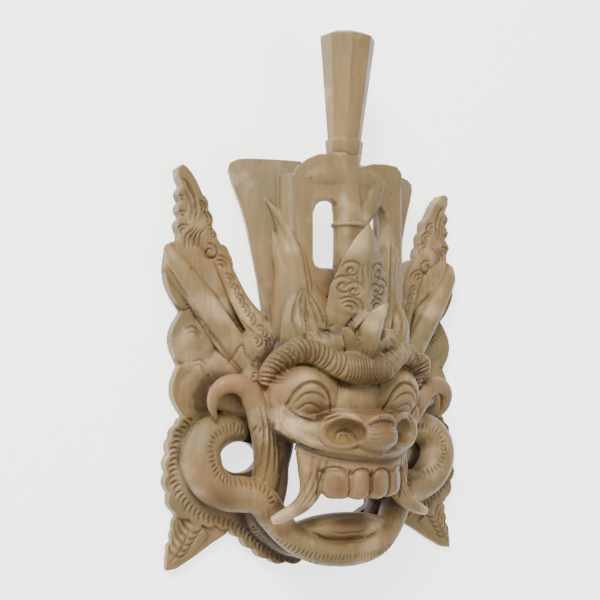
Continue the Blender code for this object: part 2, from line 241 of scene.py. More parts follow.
def slab(store, outline, low, high, openings=(), tilt=0.0, hinge=(0, 0, 0)):
    """A flat plate between two heights, with openings, tilted about an upright hinge."""
    curve = bpy.data.curves.new("slab", "CURVE")
    curve.dimensions = "2D"
    curve.fill_mode = "BOTH"
    curve.extrude = (high - low) / 2 * U
    for ring in (outline, *openings):
        spline = curve.splines.new("POLY")
        spline.points.add(len(ring) - 1)
        spline.use_cyclic_u = True
        for point, place in zip(spline.points, ring):
            point.co = (place[0] * U, place[1] * U, 0, 1)
    shape = bpy.data.objects.new("slab", curve)
    bpy.context.scene.collection.objects.link(shape)
    middle = Matrix.Translation(grid((0, 0, (low + high) / 2)))
    pivot = Matrix.Translation(grid(hinge))
    swing = Matrix.Rotation(math.radians(tilt), 4, "Y")
    shape.matrix_world = pivot @ swing @ pivot.inverted() @ middle
    store.append(shape)


def ring_of(centre, half, steps):
    """Points round an ellipse in the drawing plane."""
    points = []
    for step in range(steps):
        angle = math.tau * step / steps
        points.append((centre[0] + half[0] * math.cos(angle), centre[1] + half[1] * math.sin(angle)))
    return points


def add_wing(side):
    """The scalloped plate, the blade that lies on it and the leaf at its inner edge."""
    plate = lobes([(138, -15), (143, 30), (141, 78)], 0.20) + lobes([(141, 78), (154, 138)], 0.15)
    plate += [(148, 141), (122, 124), (98, 100), (76, 76), (40, 60), (40, -18), (100, -24)]
    slab(side, plate, 0, PLATE - 2)
    for row in (8, 54):
        ellipsoid(side, (122, row, PLATE - 8), (27, 23, 10))
    ellipsoid(side, (140, 104, PLATE - 8), (14, 32, 9), turn=(0, 0, -14))
    blade = [(156, 135, 9), (149, 123, 14), (129, 94, 20), (108, 64, 24), (90, 40, 30), (76, 22, 38)]
    band(side, blade, [4, 9, 10.5, 11, 11, 10], flatness=0.7)
    foot = [(140, 108, 12), (129, 94, 15), (108, 64, 18), (90, 40, 24), (76, 22, 32)]
    band(side, foot, [7, 12, 13.5, 13.5, 12], flatness=0.5)
    inner_edge = lobes([(40, 56), (68, 66), (81, 84), (88, 101), (94, 118), (98, 132)], -0.09)
    tendril = [(100, 137), (104, 140), (109, 138)]
    leaf_right = lobes([(111, 139), (115, 155), (119, 170), (125, 184)], -0.18)
    leaf_tip = [(131, 196), (136, 203), (141, 208), (145, 209), (149, 205), (148, 198)]
    leaf_left = lobes([(144, 190), (145, 176), (144, 162), (146, 147)], -0.26)
    outline = inner_edge + tendril + leaf_right + leaf_tip + leaf_left + [(146, 132), (100, 60)]
    slab(side, outline, 2, PLATE + 3)
    stem = [(141, 201, 13), (135, 188, 14), (131, 168, 15), (127, 150, 16), (110, 130, 17), (101, 112, 19),
            (90, 88, 23), (76, 66, 30), (64, 52, 38)]
    band(side, stem, [3, 6, 10, 12, 8, 8, 9, 12, 13], flatness=0.5)


def add_ear(side):
    """The flange with its round ear hole, its scalloped rim, the corner leaf and the shelf."""
    notches = [(18, -145), (37, -147), (54, -143), (68, -134), (81, -123), (93, -113), (107, -110),
               (120, -109), (133, -103), (146, -97), (151, -81), (153, -63), (152, -47), (150, -33),
               (144, -22), (138, -15)]
    inner = [(56, -14), (56, -70), (54, -100), (18, -120)]
    hole = ring_of(EAR_CENTRE, EAR_HALF, HOLE_STEPS)
    slab(side, lobes(notches, 0.20) + inner, 0, 12, openings=[hole])
    leaf = [(133, -98), (88, -108), (95, -119), (110, -127), (126, -137), (143, -146), (152, -147)]
    leaf += lobes([(151, -132), (147, -122), (146, -112), (143, -101)], 0.16)
    slab(side, leaf, 0, 8)
    band(side, [(147, -140, 7), (135, -127, 8), (120, -112, 8)], [5, 10, 11], flatness=0.4)
    shelf = [(118, 4, 20), (98, 0, 24), (84, -4, 26), (66, -14, 28)]
    band(side, shelf, [10, 13, 14, 14], flatness=0.8)


def add_hook(side):
    """The strand that comes down behind the cheek, and arches over the ear to end in a hook."""
    path = [(119, -17, 36), (124, -4, 40), (121, 8, 44), (109, 14, 47), (96, 10, 48),
            (86, -3, 46), (76, -22, 40), (68, -46, 34), (67, -70, 29), (69, -84, 25)]
    band(side, path, [1.5, 5, 7, 8.5, 9.5, 11, 12.5, 13, 13, 13], flatness=0.9)
    cheek = [(60, 4, 42), (57, -22, 38), (55, -42, 32), (54, -60, 26), (54, -76, 24), (58, -92, 22)]
    band(side, cheek, [18, 15, 13, 11, 11, 12])


def add_jaw(side, middle):
    """The rolled band that loops round the ear hole and becomes the ring of the lower jaw."""
    loop = [(84, -25, 16, 12), (99, -25, 18, 14), (114, -29, 20, 16), (124, -40, 21, 17), (126, -54, 22, 18),
            (119, -70, 22, 17.5), (104, -81, 23, 16), (89, -83, 27, 16), (76, -86, 33, 15),
            (65, -101, 38, 14), (50, -120, 46, 12.5), (29, -132, 54, 12), (0, -136, 58, 11.5),
            (-9, -136, 58, 11.5)]
    band(side, [place[:3] for place in loop], [place[3] for place in loop], flatness=0.95)
    back_ring = [(70, -84, 14), (66, -102, 14), (50, -121, 16), (28, -131, 20), (-4, -135, 22)]
    band(side, back_ring, [16, 16, 13, 12, 12])
    ellipsoid(middle, (0, -122, 34), (56, 18, 22))
    ellipsoid(middle, (0, -115, 46), (44, 12, 20))
    ellipsoid(middle, (0, -114, 46), (52, 13, 13))


def add_face(side, middle):
    """The head, the eyes and the cheeks."""
    ellipsoid(middle, (0, 28, 6), (116, 62, 38))
    ellipsoid(middle, (0, 20, 26), (80, 68, 50))
    ellipsoid(middle, (0, 68, 20), (66, 56, 50))
    ellipsoid(middle, (0, 48, 50), (56, 22, 34))
    ellipsoid(side, (43, 7, 53), (36, 29, 31), turn=(0, 12, 0))
    ellipsoid(side, (58, -10, 44), (17, 24, 30))
    ellipsoid(middle, (0, 2, 58), (32, 32, 27))
    ellipsoid(middle, (0, -26, 60), (66, 20, 44))
    fill = [(68, -18, 56), (60, -23, 65), (48, -28, 74), (34, -31, 82), (16, -33, 90), (0, -34, 94)]
    band(side, fill, [9, 10, 11, 12, 13, 14])
    cheek_edge = [(66, -27, 66), (70, -17, 66), (69, -8, 67), (62, -12, 71), (54, -16, 75), (42, -18, 81),
                  (32, -16, 90)]
    band(side, cheek_edge, [3, 3, 3, 3, 3.5, 3.5, 4])


def add_snout(side, middle):
    """The lip, the throat, the gum and the crest of the nose."""
    lip = [(67, -22, 66), (62, -29, 74), (54, -35, 82), (44, -39, 90), (24, -43, 99), (0, -46, 105),
           (-6, -46, 105)]
    band(side, lip, [3, 3.5, 4, 4, 4, 4, 4])
    ellipsoid(middle, (0, -44, 62), (48, 14, 32))
    throat = [(55, -38, 66), (47, -44, 75), (36, -48, 83), (18, -51, 91), (0, -52, 94), (-6, -52, 94)]
    band(side, throat, [6, 7, 8, 8, 8, 8])
    gum = [(52, -46, 66), (46, -51, 73), (38, -55, 80), (20, -58, 91), (0, -59, 94), (-6, -59, 94)]
    band(side, gum, [6, 7, 7, 7, 7, 7])
    ellipsoid(middle, (0, -30, 98), (24, 16, 25))
    ellipsoid(middle, (0, -21, 103), (16, 8, 15))
    band(side, [(44, -17, 95), (34, -13.5, 102), (24, -15, 108), (15, -22, 112)], [2.5, 3, 3, 2.5])
    band(side, [(15, -23, 112), (10, -17.5, 116), (4, -15, 118.5), (-4, -15, 118.5)], [2.6, 2.6, 2.8, 2.8])


def add_nostril(side):
    """A round rim turned outwards on the side of the snout."""
    centre = Vector((31, -27, 101))
    across = Vector((0.93, 0, -0.37)) * 18
    upward = Vector((0, 12.5, 0))
    rim = []
    for step in range(RIM_STEPS):
        angle = math.tau * step / RIM_STEPS
        rim.append(centre + across * math.cos(angle) + upward * math.sin(angle))
    band(side, rim, [2.8] * RIM_STEPS, closed=True)
    ellipsoid(side, (31, -27, 91), (20.5, 15, 12), turn=(0, 22, 0))


def add_brow(side, middle):
    """The brow with its upper roll in the middle, and the knob at its right end."""
    band(side, [place[:3] for place in BROW], [place[3] for place in BROW])
    band(side, [(21, 35, 85), (8, 34, 89), (-6, 34, 89)], [7, 8.5, 8.5])
    ellipsoid(middle, (79, 33, 60), (11, 11, 12))


def tooth(left, right, top, bottom, inset):
    """The front of a broad tooth with round corners, drawn in by an inset."""
    corner = TOOTH_CORNER - inset * 0.5
    low, high = bottom + inset + corner, top - inset - corner
    left, right = left + inset + corner, right - inset - corner
    edge = []
    for x, y, start in ((left, low, 180), (right, low, 270), (right, high, 0), (left, high, 90)):
        for step in range(CORNER_STEPS):
            angle = math.radians(start + step * 90 / (CORNER_STEPS - 1))
            edge.append((x + corner * math.cos(angle), y + corner * math.sin(angle)))
    return edge


def add_teeth(side):
    """Two broad teeth and a curved tusk on each side."""
    for left, right, bottom, low, tilt in ((0.2, 20.5, -86, 88, 8), (20.5, 49, -85, 87, 43)):
        for inset, rise in TOOTH_LAYERS:
            slab(side, tooth(left, right, TOOTH_TOP, bottom, inset), low - TOOTH_ROOT, low + rise,
                 tilt=tilt, hinge=(left, 0, low + TOOTH_HINGE))
    path = [(44, -44, 67), (43.5, -60, 70), (44, -74, 71), (50, -86, 71), (60.5, -94, 70), (72, -99.5, 68),
            (80, -102.5, 67)]
    band(side, path, [TUSK * share for share in TUSK_TAPER])


def add_forehead(side, middle):
    """The flames and curling leaves between the brow and the crown."""
    band(middle, [(0, 50, 72), (0, 75, 76), (0, 98, 80), (0, 120, 86), (0, 140, 92), (0, 156, 98)],
         [30, 33, 31, 23, 13, 1], flatness=0.55, keeled=True)
    band(middle, [(0, 46, 84), (0, 60, 96), (2, 72, 106), (5, 83, 119)], [20, 16, 10, 1], keeled=True)
    ellipsoid(side, (72, 46, 28), (20, 24, 18))
    ellipsoid(side, (82, 14, 36), (14, 18, 14))
    band(side, [(8, 50, 86), (17, 56, 92), (28, 62, 96)], [14, 9, 1], keeled=True)
    band(side, [(50, 44, 56), (54, 66, 60), (53, 86, 58), (47, 108, 55)], [18, 15, 9, 1], flatness=0.8,
         keeled=True)
    band(side, [(22, 54, 66), (32, 76, 62), (40, 100, 56)], [14, 16, 12], flatness=0.6)


def add_crown(side, middle):
    """The high crown: a pierced front wall with round lobes, and a plate at each side."""
    left_crest = [(51, 165), (55, 188), (56, 201), (51, 210), (42, 217), (31, 222), (18, 223), (0, 217)]
    right_crest = [(58, 165), (62, 190), (67, 206), (67, 215), (60, 221), (44, 221), (28, 219), (12, 213),
                   (0, 210)]
    for hand, reach, post, crest in ((-1, 37, 49, left_crest), (1, 47, 57, right_crest)):
        outline = [(0, 95), (post, 90), (post, 130)] + crest + [(0, 182)]
        arch = [(14, 178), (20, 181), (reach - 9, 180), (reach - 3, 175), (reach, 168), (reach, 125),
                (reach - 2, 120), (reach - 8, 117), (0, 117)]
        half = [(hand * x, y) for x, y in outline + arch]
        slab(middle, half, CROWN_FRONT - CROWN_WALL, CROWN_FRONT,
             tilt=CROWN_TILT * hand, hinge=(0, 0, CROWN_FRONT))
        for across, height, radius in ((post, 45, 12), (post + 1, 32, 10)):
            rear = [(hand * across, y, height) for y in (203, 165, 130, 92)]
            band(middle, rear, [radius] * 4)
    band(side, [(-4, 201, 56), (20, 203, 54), (38, 199, 50), (50, 192, 47)], [15, 15, 13, 10], flatness=0.9)
    column = [(0, 208, 50), (0, 184, 58), (-1, 162, 63), (-1, 130, 63), (0, 100, 62)]
    band(middle, column, [22, 14.5, 14, 14, 17], flatness=0.9)
    band(middle, [(6, 150, 58), (17, 170, 57), (28, 188, 54), (32, 206, 52)], [7, 11, 13, 13])
    row = 158
    ring = [(x, row, 64 + (z - row) * 0.9) for x, z in ring_of((-1, row), (14.5, 14.5), RING_STEPS)]
    band(middle, ring, [2] * RING_STEPS, closed=True)
    plate = [(30, 60), (66, 56), (70, 82), (74, 109), (79, 133), (84, 158), (90, 178), (97, 196), (101, 209),
             (100, 214), (93, 218), (83, 219), (60, 219), (34, 218), (36, 190), (50, 186), (57, 178),
             (57, 128), (46, 112)]
    slab(side, plate, 22 - PLATE, 22, tilt=SIDE_TILT, hinge=(98, 0, 20))


def add_fold(side):
    """The tall fold of a few strands at the inner edge of the side plate."""
    edge = [(69, 181, 33, 1.5), (62, 169, 39, 4.5), (56, 155, 47, 6), (53, 142, 52, 7), (50, 130, 56, 7.5),
            (47, 114, 58, 7), (45, 99, 59, 8), (43, 78, 58, 9), (44, 50, 50, 9)]
    for row in range(FOLD_STRANDS):
        strand, radii = [], []
        for step, (x, y, z, radius) in enumerate(edge[row:]):
            shift = FOLD_SPREAD * radius * row
            growth = min(1, FOLD_START + FOLD_GROWTH * step) if row else 1
            strand.append((x + shift, y, z - shift))
            radii.append((radius + row) * growth)
        band(side, strand, radii)


def add_finial(middle):
    """The eight-sided hilt on a collar, leaning a little forward."""
    def drum(low, high, low_radius, high_radius, low_z, high_z):
        """One length of the hilt between two rows, with its radius and height at both ends."""
        bpy.ops.mesh.primitive_cone_add(
            vertices=FINIAL_SIDES, radius1=low_radius * U, radius2=high_radius * U, depth=(high - low) * U)
        shape = bpy.context.object
        lean = math.atan2(high_z - low_z, high - low)
        middle_place = grid((0, (low + high) / 2, (low_z + high_z) / 2))
        turn = Matrix.Rotation(lean - math.pi / 2, 4, "X") @ Matrix.Rotation(math.pi / FINIAL_SIDES, 4, "Z")
        shape.matrix_world = Matrix.Translation(middle_place) @ turn
        middle.append(shape)

    drum(236, 334, FINIAL_NECK, FINIAL_TOP, 56, 63)
    drum(334, 338, FINIAL_TOP, FINIAL_TOP * 0.68, 63, 63.5)
    drum(219, 238, COLLAR * 0.88, COLLAR, 55, 56)
    drum(188, 221, COLLAR * 0.72, COLLAR * 0.88, 56, 55)


def as_bmesh(shapes, mirrored):
    """All shapes in one bmesh, with a copy across the middle line if mirrored."""
    bpy.context.view_layer.update()
    depsgraph = bpy.context.evaluated_depsgraph_get()
    joined = bmesh.new()
    for shape in shapes:
        mesh = bpy.data.meshes.new_from_object(shape.evaluated_get(depsgraph))
        mesh.transform(shape.matrix_world)
        joined.from_mesh(mesh)
        bpy.data.meshes.remove(mesh)
    for shape in shapes:
        bpy.data.objects.remove(shape, do_unlink=True)
    bmesh.ops.remove_doubles(joined, verts=joined.verts, dist=WELD)
    if mirrored:
        copy = bmesh.ops.duplicate(joined, geom=joined.verts[:] + joined.edges[:] + joined.faces[:])
        twins = [item for item in copy["geom"] if isinstance(item, bmesh.types.BMVert)]
        faces = [item for item in copy["geom"] if isinstance(item, bmesh.types.BMFace)]
        bmesh.ops.scale(joined, verts=twins, vec=(-1, 1, 1))
        bmesh.ops.reverse_faces(joined, faces=faces)
    return joined


def bake(item):
    """Turns the modifiers of an object into its mesh."""
    bpy.context.view_layer.update()
    depsgraph = bpy.context.evaluated_depsgraph_get()
    item.data = bpy.data.meshes.new_from_object(item.evaluated_get(depsgraph))
    item.modifiers.clear()


def rough_block():
    """All masses of the mask as one closed skin."""
    side, middle = [], []
    add_wing(side)
    add_ear(side)
    add_hook(side)
    add_jaw(side, middle)
    add_face(side, middle)
    add_snout(side, middle)
    add_nostril(side)
    add_brow(side, middle)
    add_teeth(side)
    add_forehead(side, middle)
    add_crown(side, middle)
    add_fold(side)
    add_finial(middle)
    halves = as_bmesh(side, mirrored=True)
    centre = as_bmesh(middle, mirrored=False)
    mesh = bpy.data.meshes.new("carving")
    centre.to_mesh(mesh)
    halves.from_mesh(mesh)
    halves.to_mesh(mesh)
    halves.free()
    centre.free()
    carving = bpy.data.objects.new("carving", mesh)
    bpy.context.scene.collection.objects.link(carving)
    skin = carving.modifiers.new("one skin", "REMESH")
    skin.mode = "VOXEL"
    skin.voxel_size = VOXEL * U
    smooth = carving.modifiers.new("smooth", "SMOOTH")
    smooth.iterations = SMOOTH_ROUNDS
    bake(carving)
    return carving


def hollow_out(carving):
    """Cuts the back flat, hollows the face behind its wall, and opens mouth and nostrils."""
    cutters = []
    ellipsoid(cutters, (0, -4, -4), [half - FACE_WALL for half in HEAD_HALF])
    ellipsoid(cutters, (1, -76, 12), (48, 26, 62))
    for hand in (-1, 1):
        ellipsoid(cutters, (hand * 32.5, -27.5, 110), (18.5, 12, 18), turn=(0, hand * 22, 0))
    bpy.ops.mesh.primitive_cube_add(size=1, location=grid(BELOW_CENTRE))
    below = bpy.context.object
    below.scale = grid(BELOW_SIZE)
    cutters.append(below)
    for cutter in cutters:
        cut = carving.modifiers.new("cut", "BOOLEAN")
        cut.operation = "DIFFERENCE"
        cut.solver = "MANIFOLD"
        cut.object = cutter
    bake(carving)
    for cutter in cutters:
        bpy.data.objects.remove(cutter, do_unlink=True)


def smooth_path(points):
    """Evenly spaced places on a smooth curve through the points."""
    points = [np.array(point, float) for point in points]
    ends = [2 * points[0] - points[1]] + points + [2 * points[-1] - points[-2]]
    places = []
    for before, start, end, after in zip(ends, ends[1:], ends[2:], ends[3:]):
        count = max(2, int(np.linalg.norm(end - start) / STROKE_STEP))
        for index in range(count):
            t = index / count
            places.append(0.5 * (2 * start + (end - before) * t
                                 + (2 * before - 5 * start + 4 * end - after) * t ** 2
                                 + (3 * start - before - 3 * end + after) * t ** 3))
    places.append(points[-1])
    return places


def press(relief, points, half_width, depth, fading=0.3):
    """Cuts a V-shaped groove along a smooth stroke that fades at both ends."""
    places = smooth_path(points)
    last = len(places) - 1
    for index, (x, y) in enumerate(places):
        strength = fading + (1 - fading) * math.sqrt(max(0, math.sin(math.pi * index / last)))
        reach = half_width * (0.5 + 0.5 * strength)
        left, right = np.searchsorted(RELIEF_COLUMNS, (x - reach, x + reach))
        bottom, top = np.searchsorted(RELIEF_ROWS, (y - reach, y + reach))
        away = np.hypot(RELIEF_COLUMNS[None, left:right] - x, RELIEF_ROWS[bottom:top, None] - y)
        groove = depth * strength * np.clip(1 - away / reach, 0, 1)
        window = relief[bottom:top, left:right]
        np.maximum(window, groove, out=window)


def ticks(relief, path, pitch, length, half_width, depth, slant=0.0, bow=0.0, waver=0.0):
    """A row of short cuts across a path, leaning by slant degrees, bowed, and a little uneven."""
    places = smooth_path(path)
    stride = max(1, int(pitch / STROKE_STEP))
    for number, index in enumerate(range(stride // 2, len(places) - 1, stride)):
        along = places[index + 1] - places[index]
        sway = waver * math.sin(number * SWAY_RHYTHM)
        heading = math.atan2(along[1], along[0]) + math.radians(90 + slant + SWAY_TURN * sway)
        across = np.array((math.cos(heading), math.sin(heading)))
        sideways = np.array((-across[1], across[0]))
        middle = places[index] + across * sway
        reach = length / 2 * (1 + SWAY_LENGTH * sway)
        ends = [middle - across * reach, middle + sideways * bow, middle + across * reach]
        press(relief, ends, half_width, depth)


def curl(relief, centre, radius, start, sweep, half_width, depth, shrink=0.7):
    """A spiral cut that winds inwards from a start angle through a sweep, in degrees."""
    points = []
    steps = max(4, int(abs(sweep) / 30))
    for step in range(steps + 1):
        share = step / steps
        angle = math.radians(start + sweep * share)
        reach = radius * (1 - shrink * share)
        points.append((centre[0] + reach * math.cos(angle), centre[1] + reach * math.sin(angle)))
    press(relief, points, half_width, depth)


def nested_arcs(relief, centre, radii, start, sweep, half_width, depth):
    """Arcs of several radii round one centre."""
    for radius in radii:
        curl(relief, centre, radius, start, sweep, half_width, depth, shrink=0)


def cut_brow(relief):
    """The combed strands of the brow."""
    side = [place[:2] for place in BROW if place[0] > 20]
    ticks(relief, side, 3.6, 22, 1.6, 2.7, slant=-8, bow=0.4, waver=0.6)
    for step in range(8):
        x = 1.0 + step * 2.9
        press(relief, [(x, 42), (x + 0.8, 27), (x - 0.4, 11)], 1.4, 2.3)


def cut_eye(relief):
    """The folds of the lids."""
    press(relief, [(68, -5), (64, 6), (55, 14), (45, 15), (35, 8), (27, -9)], 2.4, 3.8, fading=0.6)
    press(relief, [(63, -3), (57, 4), (50, 6), (42, 4), (35, -2)], 1.7, 2.4)
    press(relief, [(60, -9), (54, -4), (48, -4), (41, -8)], 1.6, 2.2)
    press(relief, [(68, -6), (58, -14), (46, -17), (34, -13)], 2.4, 3.4)


def cut_snout(relief):
    """The curl in the nostril, the tops of the teeth, the grooves of the tusk and the lip."""
    press(relief, [(62, -36), (50, -45), (36, -50), (18, -53), (-2, -54)], 4.2, 3.0, fading=0.5)
    curl(relief, (25, -34), 8, 10, 170, 1.8, 3.0, shrink=0.1)
    curl(relief, (25, -34), 4, 10, 170, 1.4, 2.4, shrink=0.1)
    for centre, radius in ((33, 11.5), (10.4, 9.8)):
        curl(relief, (centre, -69), radius, 20, 140, 1.5, 2.6, shrink=0)
    for x in (20.5, 0, 43):
        press(relief, [(x, -61), (x, -74), (x, -86)], 1.5, 3.4, fading=0.7)
    for y in (-20, -24, -28, -32):
        press(relief, [(19, y), (10, y - 2), (1, y - 1)], 1.1, 0.8)
    for x in (38, 43, 48):
        press(relief, [(x, -48), (x + 1, -62), (x + 6, -78), (x + 14, -90)], 1.5, 2.0)
    press(relief, [(34, -117), (22, -123), (8, -125), (-3, -124)], 2.0, 2.6, fading=0.4)
    press(relief, [(20, -116), (8, -118), (-3, -117)], 1.3, 1.4)


def cut_ear(relief):
    """The rows of short cuts round the ear hole and along the jaw, and the strands behind it."""
    ring = [(72, -27), (88, -26), (102, -25), (113, -28), (121, -34), (124, -43), (123, -52), (120, -60),
            (113, -67), (104, -70), (91, -72), (80, -75), (72, -82), (69, -90)]
    ticks(relief, ring, 4.2, 6.5, 1.3, 2.3, waver=0.6)
    jaw = [(76, -111), (70, -119), (60, -125), (48, -131), (33, -136), (14, -138), (-2, -138)]
    ticks(relief, jaw, 3.8, 5.5, 1.2, 2.0, waver=0.6)
    for strand in ([(86, -6), (79, -26), (77, -50), (80, -70)], [(80, -6), (73, -30), (71, -54), (74, -76)],
                   [(72, -20), (66, -42), (64, -64)], [(64, -36), (60, -50), (58, -66)]):
        press(relief, strand, 1.8, 2.6)


def cut_flange(relief):
    """The short cuts on the scalloped flange and the veins of the corner leaf."""
    row = [(130, -17), (138, -24), (144, -32), (147, -44), (148, -57), (147, -70), (142, -82), (133, -93),
           (122, -101), (110, -105), (98, -108), (87, -113), (77, -119), (68, -126), (58, -134), (44, -141),
           (30, -143)]
    ticks(relief, row, 5.0, 8, 1.5, 2.4, slant=-15, bow=1.2, waver=0.7)
    press(relief, [(149, -141), (141, -131), (131, -113)], 1.6, 2.2)
    for step in range(5):
        foot = (145 - 3.5 * step, -135 + 5 * step)
        press(relief, [foot, (foot[0] + 4, foot[1] + 5), (foot[0] + 4 + step, foot[1] + 12)], 1.5, 2.4)
        press(relief, [foot, (foot[0] - 6, foot[1] - 1), (foot[0] - 12, foot[1] + 3)], 1.5, 2.4)


def cut_wing(relief):
    """The outline of the blade, the paired crescents and the arch at its foot."""
    press(relief, [(161, 122), (152, 103), (135, 81), (121, 62), (110, 46), (97, 26)], 1.6, 1.2, fading=0.5)
    press(relief, [(152, 138), (137, 119), (124, 105), (111, 93), (98, 76), (82, 58), (70, 42)], 1.8, 1.8)
    press(relief, [(102, 31), (99, 43), (93, 48), (90, 40), (85, 33)], 1.6, 2.2)
    for outer, inner in (([(138, 62), (133, 65), (129, 63), (124, 56)], [(137, 58), (131, 60), (125, 54)]),
                         ([(131, 33), (125, 35), (120, 33), (117, 29)], [(130, 29), (124, 31), (118, 24)])):
        press(relief, outer, 1.4, 2.2)
        press(relief, inner, 1.3, 1.8)
    press(relief, [(148, 38), (144, 32), (138, 32)], 1.6, 2.2)
    press(relief, [(147, 84), (141, 79), (134, 80)], 1.6, 2.2)


def cut_leaf(relief):
    """The veins, the lobes and the curls of the wing's leaf."""
    press(relief, [(144, 196), (140, 193), (135, 185), (132, 176), (134, 168)], 1.7, 3.0)
    press(relief, [(140, 190), (134, 181), (131, 170), (133, 160)], 1.5, 2.6)
    press(relief, [(142, 186), (138, 178), (136, 168), (138, 158)], 1.5, 2.4)
    for x, y in ((149, 174), (148, 160), (146, 148)):
        nested_arcs(relief, (x - 4, y), (3, 6.4), -50, 170, 1.6, 2.6)
    for x, y in ((124, 171), (118, 161), (114, 150)):
        nested_arcs(relief, (x + 4, y), (3, 6.4), 80, 170, 1.6, 2.6)
    for step in range(4):
        press(relief, [(141 - 4 * step, 134), (140 - 3.6 * step, 145), (134 - 3.5 * step, 152)], 1.5, 2.6)
    curl(relief, (118, 131), 8, 60, 480, 1.6, 2.8, shrink=0.8)
    nested_arcs(relief, (109, 117), (3.5, 7.5, 11.5), 60, 120, 1.6, 2.6)
    for x, y in ((102, 106), (98, 97), (94, 88), (90, 80), (86, 72)):
        nested_arcs(relief, (x, y), (3, 6.4), 60, 190, 1.5, 2.6)
    for x, y in ((78, 60), (76, 50), (70, 42), (84, 52)):
        nested_arcs(relief, (x, y), (2.6, 6), 60, 200, 1.5, 2.4)


def cut_forehead(relief):
    """The folds of the small leaf, and the curls on the flames above the nose."""
    for step in range(5):
        foot = 28 + 7 * step
        press(relief, [(foot, 54), (foot + 4, 72), (44 + 1.5 * step, 98)], 1.5, 2.4)
    for x, y, size in ((14, 113, 5), (20, 99, 6), (11, 95, 4.5)):
        curl(relief, (x, y), size, 200, 400, 1.5, 2.8, shrink=0.8)
        curl(relief, (x, y), size + 3.4, 20, 150, 1.4, 2.4, shrink=0)
    for x in (0, 4, 8):
        press(relief, [(x, 125 - x), (x + 1, 115 - x), (x - 1, 103 - x)], 1.3, 2.0)
    nested_arcs(relief, (15, 78), (4, 8, 12), 50, 130, 1.6, 2.6)
    press(relief, [(9, 74), (14, 63), (12, 52)], 3.4, 4.2, fading=0.4)
    press(relief, [(26, 66), (30, 60), (38, 62)], 2.0, 2.4)


def cut_crown(relief):
    """The crease of the collar and the line beside the tall fold."""
    press(relief, [(20, 227), (6, 224), (-2, 221)], 1.3, 1.4)
    press(relief, [(52, 150), (47, 128), (44, 104), (43, 84)], 2.2, 2.4)


def drawn_relief():
    """All cuts of the carving, as one depth for each square."""
    relief = np.zeros((len(RELIEF_ROWS), len(RELIEF_COLUMNS)))
    cut_brow(relief)
    cut_eye(relief)
    cut_snout(relief)
    cut_ear(relief)
    cut_flange(relief)
    cut_wing(relief)
    cut_leaf(relief)
    cut_forehead(relief)
    cut_crown(relief)
    return relief


def sample(relief, x, y):
    """The relief at many places, by its four nearest squares."""
    column = np.clip((np.abs(x) - RELIEF_COLUMNS[0]) / RELIEF_CELL, 0, len(RELIEF_COLUMNS) - 2)
    row = np.clip((y - RELIEF_ROWS[0]) / RELIEF_CELL, 0, len(RELIEF_ROWS) - 2)
    left, low = column.astype(int), row.astype(int)
    right_share, high_share = column - left, row - low
    lower = relief[low, left] * (1 - right_share) + relief[low, left + 1] * right_share
    upper = relief[low + 1, left] * (1 - right_share) + relief[low + 1, left + 1] * right_share
    return lower * (1 - high_share) + upper * high_share


def surface_arrays(mesh):
    """The places of the vertices on the grid, and their normals."""
    places = np.empty(len(mesh.vertices) * 3)
    normals = np.empty(len(mesh.vertices) * 3)
    mesh.vertices.foreach_get("co", places)
    mesh.vertex_normals.foreach_get("vector", normals)
    return places.reshape(-1, 3) / U, normals.reshape(-1, 3)


def height_map(places):
    """The highest point of the surface in each square of a coarse grid."""
    column = ((places[:, 0] + RELIEF_WIDTH) / HEIGHT_CELL).astype(int)
    row = ((places[:, 1] - RELIEF_LOW) / HEIGHT_CELL).astype(int)
    shape = (int((RELIEF_HIGH - RELIEF_LOW) / HEIGHT_CELL) + 2, int(2 * RELIEF_WIDTH / HEIGHT_CELL) + 2)
    heights = np.zeros(shape)
    np.maximum.at(heights, (row, column), places[:, 2])
    return heights, row, column


def blurred(heights, reach):
    """A map softened by a square window, along rows and then along columns."""
    result = heights
    for axis in (0, 1):
        total = np.zeros_like(result)
        for shift in range(-reach, reach + 1):
            total += np.roll(result, shift, axis=axis)
        result = total / (2 * reach + 1)
    return result


def dilated(heights, reach):
    """A map with the highest value of a square window round each place."""
    result = heights
    for axis in (0, 1):
        result = np.max([np.roll(result, shift, axis=axis) for shift in range(-reach, reach + 1)], axis=0)
    return result


def carve(carving, relief):
    """Presses the drawn cuts into whatever faces the front."""
    places, normals = surface_arrays(carving.data)
    heights, row, column = height_map(places)
    facing = np.clip((normals[:, 2] - FACING_START) / FACING_RANGE, 0, 1)
    facing *= places[:, 2] > heights[row, column] - FRONT_LAYER
    depth = sample(relief, places[:, 0], places[:, 1]) * facing
    places -= normals * depth[:, None]
    carving.data.vertices.foreach_set("co", (places * U).ravel())
    carving.data.update()


def thin_out(carving):
    """Brings the surface within its budget of triangles."""
    count = sum(len(face.vertices) - 2 for face in carving.data.polygons)
    thin = carving.modifiers.new("thin", "DECIMATE")
    thin.ratio = TRIANGLES / count
    thin.use_collapse_triangulate = True
    bake(carving)


def keep_in_box(carving):
    """Holds every vertex inside the box of the solid."""
    places = np.empty(len(carving.data.vertices) * 3)
    carving.data.vertices.foreach_get("co", places)
    places = np.clip(places.reshape(-1, 3), node_low, node_high)
    carving.data.vertices.foreach_set("co", places.ravel())
    carving.data.update()


def store_values(carving, name, values):
    """Keeps one value for each vertex on the mesh, for the wood."""
    layer = carving.data.attributes.new(name, "FLOAT", "POINT")
    layer.data.foreach_set("value", values)


